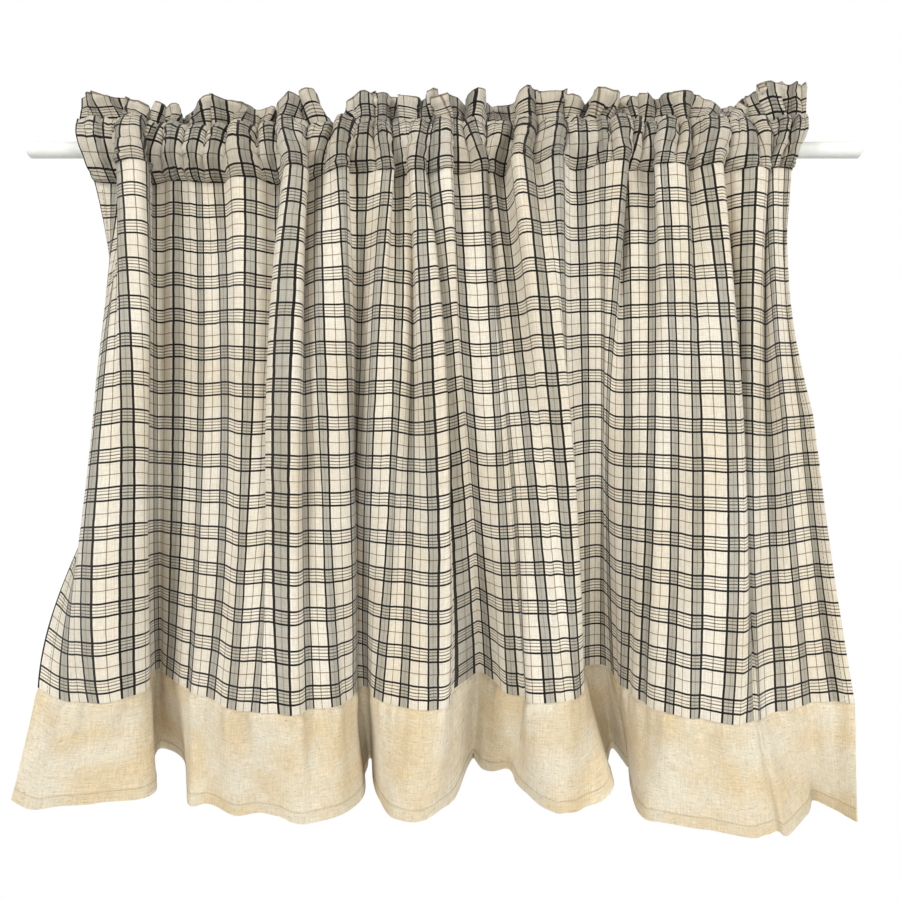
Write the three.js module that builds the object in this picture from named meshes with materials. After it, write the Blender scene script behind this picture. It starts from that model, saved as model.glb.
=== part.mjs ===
// A half curtain (a 60 cm cafe curtain) gathered on a thin rod: a checked cotton panel with a rod
// pocket and a standing heading, and a plain linen frill sewn along its lower edge.
//
// Millimetres, +Z up. The origin is the middle of the rod's axis, X runs along the rod, and the
// front of the curtain faces -Y. "Forward" below is the distance in front of the rod's axis (-Y).
//
// The cloth is described in its own flat coordinates: u runs across it from its left side hem, and
// v runs down it. The tables say where the cloth lies at a few heights, a row for each fold or
// ripple, and smooth curves join the rows.
import * as THREE from "three";

// --- driving dimensions ---------------------------------------------------------------------
const rodRadius = 6.5;
const rodLength = 704;
const rodSides = 32;

const clothThickness = 1.2;
const half = clothThickness / 2;
const clothWidth = 1027; // flat, side hem to side hem
const bodyLength = 441; // from the pocket's lower seam down to the panel's lower edge
const frillDrop = 92; // from the panel's lower edge down to the frill's hem
const frillLap = 6; // how far the frill runs up behind the panel, where it is sewn
const frillTuck = 3; // how far below the panel's edge it still lies a cloth's thickness behind
const seatGap = 0.3; // between the rod and the cloth on it
const facetAllowance = 1.6; // kept with it, because the cloth's facets cut inside its curve
const tunnelTip = 0.48; // between the pocket's two layers where they meet at its lower seam
const backLayerSetBack = 6; // from the pocket's back layer to the middle of the cloth
const bellyDepth = 3; // how far the pocket's front stands out in a valley
const bellyOfRidge = 0.5; // and how much further, as a share of how far forward the cloth hangs
const seamGap = 0.8; // between the panel and the frill sewn behind it

const pocketSeamZ = -20.5; // the pocket's lower seam, where the cloth neither rises nor sags
const headingSeamZ = 17.8; // the seam over the rod, on a ridge of the cloth
const headingSeamDip = 5; // how much lower that seam sits in a valley, close to the rod
const middleDrop = 205; // height of the folds table's middle level, below the pocket's lower seam

const plaidColour = 0xcfc6b2;
const linenColour = 0xddd0b4;
const rodColour = 0xe9ebe6;

// --- the folds --------------------------------------------------------------------------------
// A row for each fold of the hanging cloth, left to right. At three levels (the panel's middle, its
// lower edge and the frill's hem) it gives x and the distance forward of the rod's axis.
const foldColumns = ["u", "middleX", "middleForward", "edgeX", "edgeForward", "hemX", "hemForward"];
const folds = [
  [0, -288, -20, -341, 6, -358, 14],
  [36, -290, 10, -298, 20, -325, 16],
  [64, -266, 26, -267, 26, -286, 12],
  [92, -244, 18, -251, 2, -250, -6],
  [110, -253, 0, -260, -24, -268, -48],
  [132, -251, -18, -261, -44, -272, -72],
  [152, -228, -8, -241, -24, -241, -52],
  [178, -212, -15, -218, -4, -216, 6],
  [204, -186, -1, -194, 14, -199, 6],
  [230, -164, 11, -172, 28, -174, 16],
  [256, -144, 6, -148, 42, -149, 22],
  [272, -146, 16, -135, 43, -135, 26],
  [290, -120, 28, -117, 41, -118, 30],
  [308, -117, 10, -108, 29, -103, 27],
  [334, -99, 22, -88, 25, -83, 15],
  [358, -80, 10, -80, 0, -72, -8],
  [386, -77, -20, -79, -24, -75, -44],
  [412, -62, 10, -69, -18, -70, -58],
  [438, -40, 14, -54, 8, -57, -8],
  [464, -28, 0, -33, 18, -39, 18],
  [490, -12, 20, -9, 22, -16, 20],
  [505, 3, 20, 4, 14, -1, 6],
  [510, 2, 5, 6, -10, 8, -8],
  [516, 8, 6, 19, -27, 17, -41],
  [542, 22, -6, 39, -30, 36, -46],
  [568, 45, 2, 58, 3, 56, -38],
  [580, 50, 4, 67, 9, 62, -28],
  [590, 52, 2, 69, 6, 65, -19],
  [600, 55, 4, 67, 27, 70, 0],
  [620, 67, 10, 85, 33, 83, 22],
  [646, 90, 24, 109, 20, 107, 22],
  [659, 102, 25, 118, 3, 120, 16],
  [670, 102, 8, 121, -18, 137, 12],
  [682, 108, -5, 124, -34, 142, 4],
  [692, 117, -5, 126, -36, 145, -18],
  [706, 126, -7, 132, -37, 149, -40],
  [716, 133, -8, 139, -38, 156, -60],
  [740, 138, -7, 150, -37, 167, -40],
  [757, 143, -6, 152, -29, 172, -44],
  [776, 154, 6, 157, -15, 166, -30],
  [802, 171, 16, 165, 16, 161, 20],
  [828, 187, 24, 178, 38, 177, 28],
  [854, 202, 32, 196, 42, 205, 34],
  [888, 236, 32, 225, 50, 238, 42],
  [896, 240, 30, 230, 49, 246, 42],
  [910, 250, 6, 240, 47, 258, 41],
  [936, 255, 12, 248, 41, 268, 44],
  [958, 277, -2, 270, 28, 294, 20],
  [984, 281, 14, 297, 18, 312, 0],
  [1010, 301, 4, 319, 20, 324, 18],
  [1027, 306, 12, 331, 28, 329, 34],
];

// The same at the pocket's lower seam, where the cloth is pleated: a row for each pleat's edge.
const pleatColumns = ["u", "x", "forward"];
const pleats = [
  [0, -297, 0],
  [36, -271, -5],
  [56, -267, 4],
  [70, -264, 12],
  [92, -251, 14],
  [104, -248, 4],
  [114, -246, -8],
  [150, -233, -12],
  [178, -214, -13],
  [204, -196, -11],
  [217, -181, -1],
  [230, -164, 1],
  [256, -145, -3],
  [271, -132, 14],
  [290, -116, 15],
  [308, -117, -5],
  [334, -106, 2],
  [348, -94, 11],
  [365, -81, 12],
  [386, -69, 4],
  [412, -48, 11],
  [428, -44, -1],
  [448, -32, 0],
  [465, -29, -4],
  [481, -25, 10],
  [496, -17, 9],
  [516, -9, 3],
  [530, 2, 9],
  [545, 12, 5],
  [570, 31, 6],
  [592, 36, -5],
  [612, 42, 3],
  [629, 53, 7],
  [642, 63, 23],
  [658, 78, 20],
  [676, 95, 27],
  [698, 115, 22],
  [726, 132, 20],
  [750, 146, 18],
  [767, 151, 3],
  [790, 164, 6],
  [807, 172, 9],
  [828, 180, 19],
  [852, 198, 18],
  [880, 215, 21],
  [893, 227, 18],
  [905, 234, 2],
  [932, 252, 10],
  [949, 264, 11],
  [966, 270, 0],
  [984, 273, 10],
  [1010, 283, 13],
  [1027, 287, 12],
];

// How much higher (+) or lower the cloth hangs, at its seam and from its middle down.
const riseColumns = ["u", "seam", "body"];
const rises = [
  [0, -6, -4],
  [40, -5, -2],
  [70, 2, 4],
  [120, 2, 5],
  [150, 2, 5],
  [181, 1, 2],
  [204, -1, -3],
  [226, -2, -5],
  [250, -2, -4],
  [274, 0, 0],
  [300, -1, -3],
  [345, -1, -3],
  [370, 0, 0],
  [390, -1, -2],
  [428, -1, -3],
  [507, -1, -3],
  [530, 0, 3],
  [555, 0, -1],
  [576, 0, 0],
  [637, 1, 2],
  [655, 2, 2],
  [672, 1, 3],
  [690, 1, 9],
  [716, 0, 9],
  [745, 0, 3],
  [765, 0, 0],
  [795, 0, -1],
  [840, -1, -3],
  [861, -2, -5],
  [928, -2, -4],
  [955, -3, -6],
  [988, -1, -2],
  [1027, -1, -1],
];

// A row for each ripple of the standing heading's top edge: x, forward of the axis, and height.
const rippleColumns = ["u", "x", "forward", "rise"];
const ripples = [
  [0, -302, 10, 40],
  [56, -272, 9, 41],
  [73, -271, -8, 47],
  [85, -253, 13, 32],
  [96, -257, -8, 32],
  [121, -240, 9, 36],
  [130, -236, 2, 31],
  [141, -225, 14, 36],
  [158, -226, -12, 35],
  [171, -214, -2, 32],
  [188, -197, 14, 40],
  [208, -183, 12, 38],
  [240, -157, -5, 40],
  [248, -148, 8, 37],
  [257, -144, -6, 34],
  [272, -130, 14, 38],
  [303, -118, 9, 38],
  [332, -105, 13, 41],
  [342, -101, -8, 31],
  [357, -88, -6, 32],
  [371, -77, 8, 40],
  [385, -68, 14, 44],
  [409, -52, 14, 44],
  [429, -43, -6, 52],
  [444, -36, 14, 40],
  [473, -26, -6, 44],
  [503, -13, 15, 45],
  [514, -8, -6, 50],
  [524, -3, 13, 38],
  [545, 11, 4, 44],
  [559, 20, -8, 38],
  [574, 27, 14, 44],
  [590, 34, -7, 48],
  [621, 50, -8, 46],
  [632, 58, 8, 41],
  [642, 67, 14, 49],
  [658, 84, -4, 52],
  [667, 95, 13, 49],
  [683, 106, 11, 41],
  [698, 122, -8, 45],
  [709, 129, 14, 43],
  [745, 146, -8, 46],
  [781, 163, -5, 49],
  [800, 171, 12, 43],
  [810, 181, -4, 48],
  [832, 187, 8, 43],
  [849, 197, 14, 41],
  [859, 210, 2, 45],
  [889, 245, -10, 42],
  [912, 249, 12, 32],
  [936, 252, 2, 42],
  [984, 272, 13, 52],
  [1010, 287, 13, 50],
  [1027, 300, 11, 49],
];

// At the rod the side hems stand further out than just below it. Below the middle level the left
// side swings out early, and above it the right side hangs closer in.
const sideSpread = { left: -8, right: 10, reach: 45 };
const sideBow = { leftBelow: -16, rightAbove: -8, reach: 35 };

// The back layer of the pocket and the seam over the rod are gathered evenly, without the folds
// that lap over each other below. A row gives x where the cloth has come so far across.
const gatherColumns = ["u", "x"];
const gathers = [
  [0, -297],
  [36, -272],
  [64, -263],
  [132, -236],
  [204, -187],
  [256, -147],
  [308, -113],
  [358, -82],
  [412, -52],
  [464, -28],
  [516, -5],
  [568, 22],
  [620, 52],
  [668, 93],
  [716, 124],
  [750, 146],
  [802, 172],
  [854, 204],
  [902, 236],
  [936, 250],
  [958, 265],
  [984, 276],
  [1027, 290],
];

// --- curves through a table ---------------------------------------------------------------------
// The smooth curve through one column of a table, as a function of u.
function curveThrough(table, columns, name) {
  const column = columns.indexOf(name);
  const at = table.map((row) => row[0]);
  const value = table.map((row) => row[column]);
  const last = table.length - 1;
  const slope = (i) => (value[i + 1] - value[i]) / (at[i + 1] - at[i]);
  const tangent = value.map((_, i) => {
    if (i === 0) return slope(0);
    if (i === last) return slope(last - 1);
    const before = at[i] - at[i - 1];
    const after = at[i + 1] - at[i];
    return (slope(i - 1) * after + slope(i) * before) / (before + after);
  });
  return (u) => {
    let i = 0;
    while (i < last - 1 && u > at[i + 1]) i++;
    const span = at[i + 1] - at[i];
    const s = (u - at[i]) / span;
    const fromLast = s * s * (3 - 2 * s);
    return (
      value[i] * (1 - fromLast) +
      value[i + 1] * fromLast +
      span * s * (1 - s) * (tangent[i] * (1 - s) - tangent[i + 1] * s)
    );
  };
}

const fold = {};
for (const name of foldColumns.slice(1)) fold[name] = curveThrough(folds, foldColumns, name);
const pleat = {};
for (const name of pleatColumns.slice(1)) pleat[name] = curveThrough(pleats, pleatColumns, name);
const rise = {};
for (const name of riseColumns.slice(1)) rise[name] = curveThrough(rises, riseColumns, name);
const ripple = {};
for (const name of rippleColumns.slice(1)) ripple[name] = curveThrough(ripples, rippleColumns, name);
const gatherX = curveThrough(gathers, gatherColumns, "x");

// The curve through the three values that a fold has at the pocket seam, middle and lower edge.
function alongBody(top, middle, edge, v) {
  const upperSlope = (middle - top) / middleDrop;
  const wholeSlope = (edge - top) / bodyLength;
  const bend = (wholeSlope - upperSlope) / (bodyLength - middleDrop);
  return top + upperSlope * v + bend * v * (v - middleDrop);
}

const mix = (a, b, share) => a + (b - a) * share;
const ease = (share) => share * share * (3 - 2 * share);

// --- where the cloth lies -------------------------------------------------------------------------
// Each function returns the x and forward distance of the cloth's middle surface, some with z.

// How far the side hems swing aside between the levels of the folds table.
function bowAt(u, v) {
  if (v < middleDrop)
    return (
      sideBow.rightAbove * Math.sin((Math.PI * v) / middleDrop) * Math.exp((u - clothWidth) / sideBow.reach)
    );
  const share = Math.min(1, (v - middleDrop) / (bodyLength - middleDrop));
  const swing = share ** 2 * (1 - share) * 6.75; // 1 at its widest
  return sideBow.leftBelow * swing * Math.exp(-u / sideBow.reach);
}

// v is measured down from the pocket's lower seam, and runs on past the panel's edge in the frill.
function bodyAt(u, v) {
  if (v <= bodyLength)
    return {
      x: alongBody(pleat.x(u), fold.middleX(u), fold.edgeX(u), v) + bowAt(u, v),
      forward: alongBody(pleat.forward(u), fold.middleForward(u), fold.edgeForward(u), v),
    };
  const share = (v - bodyLength) / frillDrop;
  return {
    x: mix(fold.edgeX(u), fold.hemX(u), share),
    forward: mix(fold.edgeForward(u), fold.hemForward(u), share),
  };
}

const pocketSeamAt = (u) => pocketSeamZ + rise.seam(u);

// The same with its height: the cloth hangs down by what its slope leaves of its length.
function hangingAt(u, v) {
  const steps = Math.max(1, Math.round(v / 15));
  const step = v / steps;
  const shareAbove = Math.min(1, v / middleDrop);
  let z = mix(pocketSeamAt(u), pocketSeamZ + rise.body(u), shareAbove);
  let here = bodyAt(u, 0);
  for (let i = 1; i <= steps; i++) {
    const next = bodyAt(u, i * step);
    const aside = Math.hypot(next.x - here.x, next.forward - here.forward);
    z -= Math.sqrt(Math.max(step * step - aside * aside, 0.25 * step * step));
    here = next;
  }
  return { ...here, z };
}

const spreadAt = (u) =>
  sideSpread.left * Math.exp(-u / sideSpread.reach) +
  sideSpread.right * Math.exp((u - clothWidth) / sideSpread.reach);

// The seam over the rod, where the front and back layers meet: lower where a valley comes close.
function headingSeamAt(u) {
  const forward = pleat.forward(u);
  const valley = THREE.MathUtils.clamp((8 - forward) / 16, 0, 1);
  return {
    x: gatherX(u) + spreadAt(u),
    forward: 0.35 * (forward - 4),
    z: headingSeamZ - headingSeamDip * valley,
  };
}

// share 0 is the heading's top edge and share 1 the seam over the rod.
function headingAt(u, share) {
  const seam = headingSeamAt(u);
  return {
    x: mix(ripple.x(u), seam.x, ease(share)),
    forward: mix(ripple.forward(u), seam.forward, share),
    z: mix(ripple.rise(u), seam.z, share),
  };
}

// How far in front of the rod's axis the cloth's middle has to stay at a height: round the rod
// above, and off it at a slope of one in one below.
const clearRadius = rodRadius + half + seatGap + facetAllowance;
function nearestToRod(z) {
  if (Math.abs(z) < clearRadius / Math.SQRT2) return Math.sqrt(clearRadius ** 2 - z ** 2);
  return clearRadius * Math.SQRT2 - Math.abs(z);
}

// The two layers of the pocket at a height. They part at the seam over the rod and meet again at
// the pocket's lower seam.
function pocketFrontAt(u, z) {
  const seam = headingSeamAt(u);
  const below = pleat.forward(u);
  const share = (seam.z - z) / (seam.z - pocketSeamAt(u));
  const belly = Math.sin(Math.PI * Math.min(1, 1.15 * share));
  const standingOut = bellyDepth + bellyOfRidge * Math.max(0, below);
  const hanging = mix(seam.forward, below, ease(share)) + standingOut * belly;
  return {
    x: mix(seam.x, pleat.x(u), ease(share)),
    forward: Math.max(hanging, nearestToRod(z)),
    z,
  };
}
function pocketBackAt(u, z) {
  const seam = headingSeamAt(u);
  const share = (seam.z - z) / (seam.z - pocketSeamAt(u));
  const late = share ** 6;
  const middle = mix(seam.forward, pleat.forward(u), late);
  return {
    x: mix(seam.x, pleat.x(u), late),
    forward: Math.min(middle - backLayerSetBack, -nearestToRod(z)),
    z,
  };
}

// --- solids ---------------------------------------------------------------------------------------
// A row is one level of the cloth's middle surface, from side hem to side hem. This moves a row
// out of the cloth's front by a distance, square to the row in plan.
function offsetRow(row, distance) {
  const square = (i) => {
    const alongX = row[i + 1].x - row[i].x;
    const alongForward = row[i + 1].forward - row[i].forward;
    return new THREE.Vector2(-alongForward, alongX).normalize();
  };
  return row.map((point, i) => {
    const left = square(Math.max(0, i - 1));
    const right = square(Math.min(row.length - 2, i));
    const out = left.clone().add(right).normalize();
    const reach = distance / Math.max(0.7, out.dot(left));
    return new THREE.Vector3(
      point.x + out.x * reach,
      -(point.forward + out.y * reach),
      point.z,
    );
  });
}

// A closed solid from levels of cloth, from the top down. A level holds the rows of its front and
// back faces, and where the cloth runs in two layers also the two faces of the tunnel between them.
function solidFromLevels(levels) {
  const open = levels.map((level) => level.length === 4);
  const firstOpen = open.indexOf(true);
  const openCount = open.filter(Boolean).length;
  const perSection = 2 * levels.length + 2 * openCount;
  const sections = levels[0][0].length;
  const front = (level) => level;
  const back = (level) => 2 * levels.length - 1 - level;
  const innerFront = (level) => 2 * levels.length + level - firstOpen;
  const innerBack = (level) => perSection - 1 - (level - firstOpen);

  const positions = new Float32Array(3 * perSection * sections);
  levels.forEach((rows, level) => {
    const slots = [front(level), back(level), innerFront(level), innerBack(level)];
    rows.forEach((row, k) => {
      row.forEach((point, s) => {
        positions.set([point.x, point.y, point.z], 3 * (s * perSection + slots[k]));
      });
    });
  });

  const indices = [];
  const face = (corners, reversed) => {
    const ring = reversed ? [corners[0], ...corners.slice(1).toReversed()] : corners;
    for (let i = 1; i + 1 < ring.length; i++) indices.push(ring[0], ring[i], ring[i + 1]);
  };
  // The two sides of a layer are split along the same diagonals, so they stay parallel.
  const skin = (first, count, goesDown, reversed) => {
    for (let s = 0; s + 1 < sections; s++) {
      for (let i = 0; i < count; i++) {
        const a = s * perSection + first + i;
        const b = s * perSection + first + ((i + 1) % count);
        const c = b + perSection;
        const d = a + perSection;
        face(goesDown(i) ? [a, b, c, d] : [b, c, d, a], reversed);
      }
    }
  };
  skin(0, 2 * levels.length, (i) => i < levels.length, false);
  if (openCount) skin(2 * levels.length, 2 * openCount, (i) => i < openCount, true);

  const endCells = [];
  for (let k = 0; k + 1 < levels.length; k++) {
    const n = k + 1;
    if (open[k] && open[n]) {
      endCells.push([front(k), front(n), innerFront(n), innerFront(k)]);
      endCells.push([innerBack(k), innerBack(n), back(n), back(k)]);
    } else if (open[n]) {
      endCells.push([front(k), front(n), innerFront(n), innerBack(n), back(n), back(k)]);
    } else if (open[k]) {
      endCells.push([front(n), back(n), back(k), innerBack(k), innerFront(k), front(k)]);
    } else {
      endCells.push([front(k), front(n), back(n), back(k)]);
    }
  }
  const lastBase = (sections - 1) * perSection;
  for (const cell of endCells) {
    face(cell, true);
    face(cell.map((i) => i + lastBase), false);
  }

  const geometry = new THREE.BufferGeometry();
  geometry.setAttribute("position", new THREE.BufferAttribute(positions, 3));
  geometry.setIndex(indices);
  geometry.computeVertexNormals();
  return geometry;
}

// The rows have a point at every fold, and at each ripple that isn't close beside one.
function placesAcross() {
  const nearest = 6;
  const chosen = folds.map((row) => row[0]);
  for (const [u] of ripples)
    if (chosen.every((other) => Math.abs(other - u) >= nearest)) chosen.push(u);
  return chosen.sort((a, b) => a - b);
}

const places = placesAcross();
const headingShares = [0, 0.5, 1];
const pocketHeights = [rodRadius + seatGap, 1.5, -4, -8.5, -13];
const pocketFloorRise = 1.5; // where the layers part, just above the pocket's lower seam
const bodyDrops = [0, 60, 130, 200, 270, 340, 400, bodyLength - frillLap, bodyLength];
const frillDrops = [-frillLap, 0, frillTuck, 16, 50, frillDrop].map((drop) => bodyLength + drop);

function panelLevels() {
  const heading = headingShares.map((share) => {
    const row = places.map((u) => headingAt(u, share));
    return [offsetRow(row, clothThickness), offsetRow(row, -clothThickness)];
  });
  const pocket = pocketHeights.map((z) => {
    const frontRow = places.map((u) => pocketFrontAt(u, z));
    const backRow = places.map((u) => pocketBackAt(u, z));
    return [
      offsetRow(frontRow, half),
      offsetRow(backRow, -half),
      offsetRow(frontRow, -half),
      offsetRow(backRow, half),
    ];
  });
  const floorRow = places.map((u) => pocketFrontAt(u, pocketSeamAt(u) + pocketFloorRise));
  const faces = [half, -3 * half - tunnelTip, -half, -half - tunnelTip];
  const pocketFloor = faces.map((distance) => offsetRow(floorRow, distance));
  const body = bodyDrops.map((v) => {
    const row = places.map((u) => hangingAt(u, v));
    return [offsetRow(row, half), offsetRow(row, v === 0 ? -3 * half : -half)];
  });
  return [...heading, ...pocket, pocketFloor, ...body];
}

// The frill starts behind the panel's lower edge and comes out below it.
function frillLevels() {
  const behind = clothThickness + seamGap;
  return frillDrops.map((v) => {
    const row = places.map((u) => hangingAt(u, v));
    const setBack = v <= bodyLength + frillTuck ? behind : 0;
    return [offsetRow(row, half - setBack), offsetRow(row, -half - setBack)];
  });
}

// --- the pieces -----------------------------------------------------------------------------------
function material(colour, roughness) {
  return new THREE.MeshStandardMaterial({ color: colour, roughness, metalness: 0 });
}

function makeRod() {
  const geometry = new THREE.CylinderGeometry(rodRadius, rodRadius, rodLength, rodSides);
  const rod = new THREE.Mesh(geometry, material(rodColour, 0.45));
  rod.rotation.z = Math.PI / 2;
  rod.name = "rod";
  return rod;
}

function makeCloth(name, levels, colour) {
  const cloth = new THREE.Mesh(solidFromLevels(levels), material(colour, 0.95));
  cloth.name = name;
  return cloth;
}

const group = new THREE.Group();
group.add(makeRod());
group.add(makeCloth("panel", panelLevels(), plaidColour));
group.add(makeCloth("frill", frillLevels(), linenColour));

export default group;
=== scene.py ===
"""The looks of a half curtain on a rod: a checked cotton panel, gathered on a thin rod by its
pocket, with a standing heading above and a plain linen frill sewn along its lower edge.

Lengths in the tables are millimetres, in the CAD frame: x along the rod, "forward" the distance in
front of the rod's axis (-Y), z up. u runs across the flat cloth from its left side hem and v runs
down it from the pocket's lower seam. Meshes are made in metres.
"""

import math

import bmesh
import bpy
import mathutils
import numpy as np
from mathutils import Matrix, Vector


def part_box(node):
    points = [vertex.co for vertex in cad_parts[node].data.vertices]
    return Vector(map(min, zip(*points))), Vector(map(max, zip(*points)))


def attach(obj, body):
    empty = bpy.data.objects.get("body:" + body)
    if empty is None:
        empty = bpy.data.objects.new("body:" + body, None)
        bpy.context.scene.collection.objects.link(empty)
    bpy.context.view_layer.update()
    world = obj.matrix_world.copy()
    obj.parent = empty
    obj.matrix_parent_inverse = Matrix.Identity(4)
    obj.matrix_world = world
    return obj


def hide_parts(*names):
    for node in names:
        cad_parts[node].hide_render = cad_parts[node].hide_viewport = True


MM = 0.001

# --- driving sizes --------------------------------------------------------------------------
CLOTH_WIDTH = 1027
BODY_LENGTH = 441
POCKET_LENGTH = 54
HEADING_LENGTH = 30
FRILL_DROP = 92
FRILL_LAP = 6
HEM_DEPTH = 10
SIDE_HEM = 9
HEM_LAYER = 0.7  # how much thicker the cloth is in a turned hem
PANEL_THICKNESS = 0.8
FRILL_THICKNESS = 0.9
POCKET_SEAM_Z = -20.5
MIDDLE_DROP = 205  # where down the body the tables' middle level is
ROD_RADIUS, ROD_GAP = 6.5, 1.0
ROD_SIDES = 64
BEVEL = 0.6  # on the rod's ends
STITCH_SPACING, STITCH_LENGTH, STITCH_WIDTH = 3.2, 2.1, 0.42
STITCH_INSET = 1.5  # from a seam, or from the inner edge of a hem

# --- how finely the cloth is made -----------------------------------------------------------
PANEL_GRID, FRILL_GRID = 2.4, 2.5  # spacing of the points across
UPPER_BODY = 60  # the stretch below the pocket where rows of points lie closer together
ROWS = {
    "upper_body": 12,
    "body": 50,
    "pocket": 20,
    "heading": 10,
    "heading_back": 8,
    "pocket_back": 10,
    "frill_lap": 3,
    "frill": 39,
}
HANGING_STEP = 4  # the length of cloth taken in each step down the body
LEAST_FALL = 0.5  # the least that a step falls, as a share of its length
BAKE_MARGIN = 0.01

# --- the stage (metres and watts) ---------------------------------------------------------------
FLOOR_Z = -1.2
FLOOR_SIZE = 1.6
FLOOR_GLOW = 0.30
WORLD_LIGHT = 0.33
LAMPS = (
    ("key", 26, 0.7, (-1.25, -1.35, 0.75)),
    ("fill", 19.5, 0.7, (1.3, -1.3, 0.35)),
    ("low", 10, 1.0, (0.1, -1.5, -1.0)),
    ("back", 16, 1.2, (0.4, 1.7, 0.3)),
)

# The check: band centres lie at BAND_START + n * REPEAT, across and down.
REPEAT_ACROSS, BAND_START_ACROSS = 26.0, 22.0
REPEAT_DOWN, BAND_START_DOWN = 31.0, 25.0

# --- the folds ------------------------------------------------------------------------------
# A row for each fold, left to right. At three levels (the panel's middle, its lower edge and the
# frill's hem) it gives x and the distance forward.
FOLD_COLUMNS = ("u", "middle_x", "middle_forward", "edge_x", "edge_forward", "hem_x", "hem_forward")
FOLDS = (
    (0, -288, -20, -341, 6, -358, 14),
    (36, -290, 10, -298, 20, -325, 16),
    (64, -266, 26, -267, 26, -286, 12),
    (92, -244, 18, -251, 2, -250, -6),
    (110, -253, 0, -260, -24, -268, -48),
    (132, -251, -18, -261, -44, -272, -72),
    (152, -228, -8, -241, -24, -241, -52),
    (178, -212, -15, -218, -4, -216, 6),
    (204, -186, -1, -194, 14, -199, 6),
    (230, -164, 11, -172, 28, -174, 16),
    (256, -144, 6, -148, 42, -149, 22),
    (272, -146, 16, -135, 43, -135, 26),
    (290, -120, 28, -117, 41, -118, 30),
    (308, -117, 10, -108, 29, -103, 27),
    (334, -99, 22, -88, 25, -83, 15),
    (358, -80, 10, -80, 0, -72, -8),
    (386, -77, -20, -79, -24, -75, -44),
    (412, -62, 10, -69, -18, -70, -58),
    (438, -40, 14, -54, 8, -57, -8),
    (464, -28, 0, -33, 18, -39, 18),
    (490, -12, 20, -9, 22, -16, 20),
    (505, 3, 20, 4, 14, -1, 6),
    (510, 2, 5, 6, -10, 8, -8),
    (516, 8, 6, 19, -27, 17, -41),
    (542, 22, -6, 39, -30, 36, -46),
    (568, 45, 2, 58, 3, 56, -38),
    (580, 50, 4, 67, 9, 62, -28),
    (590, 52, 2, 69, 6, 65, -19),
    (600, 55, 4, 67, 27, 70, 0),
    (620, 67, 10, 85, 33, 83, 22),
    (646, 90, 24, 109, 20, 107, 22),
    (659, 102, 25, 118, 3, 120, 16),
    (670, 102, 8, 121, -18, 137, 12),
    (682, 108, -5, 124, -34, 142, 4),
    (692, 117, -5, 126, -36, 145, -18),
    (706, 126, -7, 132, -37, 149, -40),
    (716, 133, -8, 139, -38, 156, -60),
    (740, 138, -7, 150, -37, 167, -40),
    (757, 143, -6, 152, -29, 172, -44),
    (776, 154, 6, 157, -15, 166, -30),
    (802, 171, 16, 165, 16, 161, 20),
    (828, 187, 24, 178, 38, 177, 28),
    (854, 202, 32, 196, 42, 205, 34),
    (888, 236, 32, 225, 50, 238, 42),
    (896, 240, 30, 230, 49, 246, 42),
    (910, 250, 6, 240, 47, 258, 41),
    (922, 250, 5, 243, 45, 263, 41),
    (936, 255, 12, 248, 41, 268, 44),
    (958, 277, -2, 270, 28, 294, 20),
    (984, 281, 14, 297, 18, 312, 0),
    (1010, 301, 4, 319, 20, 324, 18),
    (1027, 306, 12, 331, 28, 329, 34),
)

# The same at the pocket's lower seam, where the cloth is pleated: a row for each pleat's edge.
SEAM_COLUMNS = ("u", "x", "forward")
SEAM = (
    (0, -297, 0),
    (22, -281, -4),
    (46, -262, -4),
    (62, -269, 8),
    (70, -269, 15),
    (98, -246, 16),
    (107, -252, -2),
    (114, -258, -14),
    (150, -233, -13),
    (178, -214, -14),
    (204, -197, -13),
    (212, -188, -11),
    (217, -180, -1),
    (230, -164, 1),
    (264, -138, -5),
    (271, -131, 16),
    (292, -113, 16),
    (308, -120, -8),
    (334, -107, 0),
    (348, -94, 11),
    (367, -81, 13),
    (374, -81, 3),
    (386, -68, 4),
    (412, -48, 12),
    (420, -42, 11),
    (428, -45, -3),
    (448, -30, 1),
    (465, -31, -6),
    (481, -27, 12),
    (496, -17, 10),
    (505, -17, 2),
    (530, 4, 11),
    (537, 5, 3),
    (570, 36, 6),
    (592, 34, -8),
    (612, 39, 3),
    (629, 54, 4),
    (633, 55, 27),
    (646, 68, 26),
    (652, 73, 16),
    (676, 95, 30),
    (681, 99, 17),
    (716, 128, 18),
    (726, 131, 21),
    (754, 149, 22),
    (767, 151, 0),
    (781, 155, 6),
    (807, 177, 7),
    (817, 174, 19),
    (828, 179, 22),
    (852, 198, 19),
    (858, 202, 12),
    (880, 214, 23),
    (893, 226, 24),
    (902, 236, -4),
    (911, 236, 4),
    (949, 266, 15),
    (966, 272, -4),
    (984, 271, 12),
    (1010, 283, 14),
    (1027, 287, 12),
)
# Where the sharp tucks are, between the rounded gathers of the pocket.
TUCKS = (54, 107, 140, 165, 190, 214, 240, 267, 303, 341, 371, 400, 426, 465, 501, 536, 556, 592)
TUCKS += (631, 650, 679, 716, 735, 767, 790, 813, 840, 857, 902, 940, 966, 1000)

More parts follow.
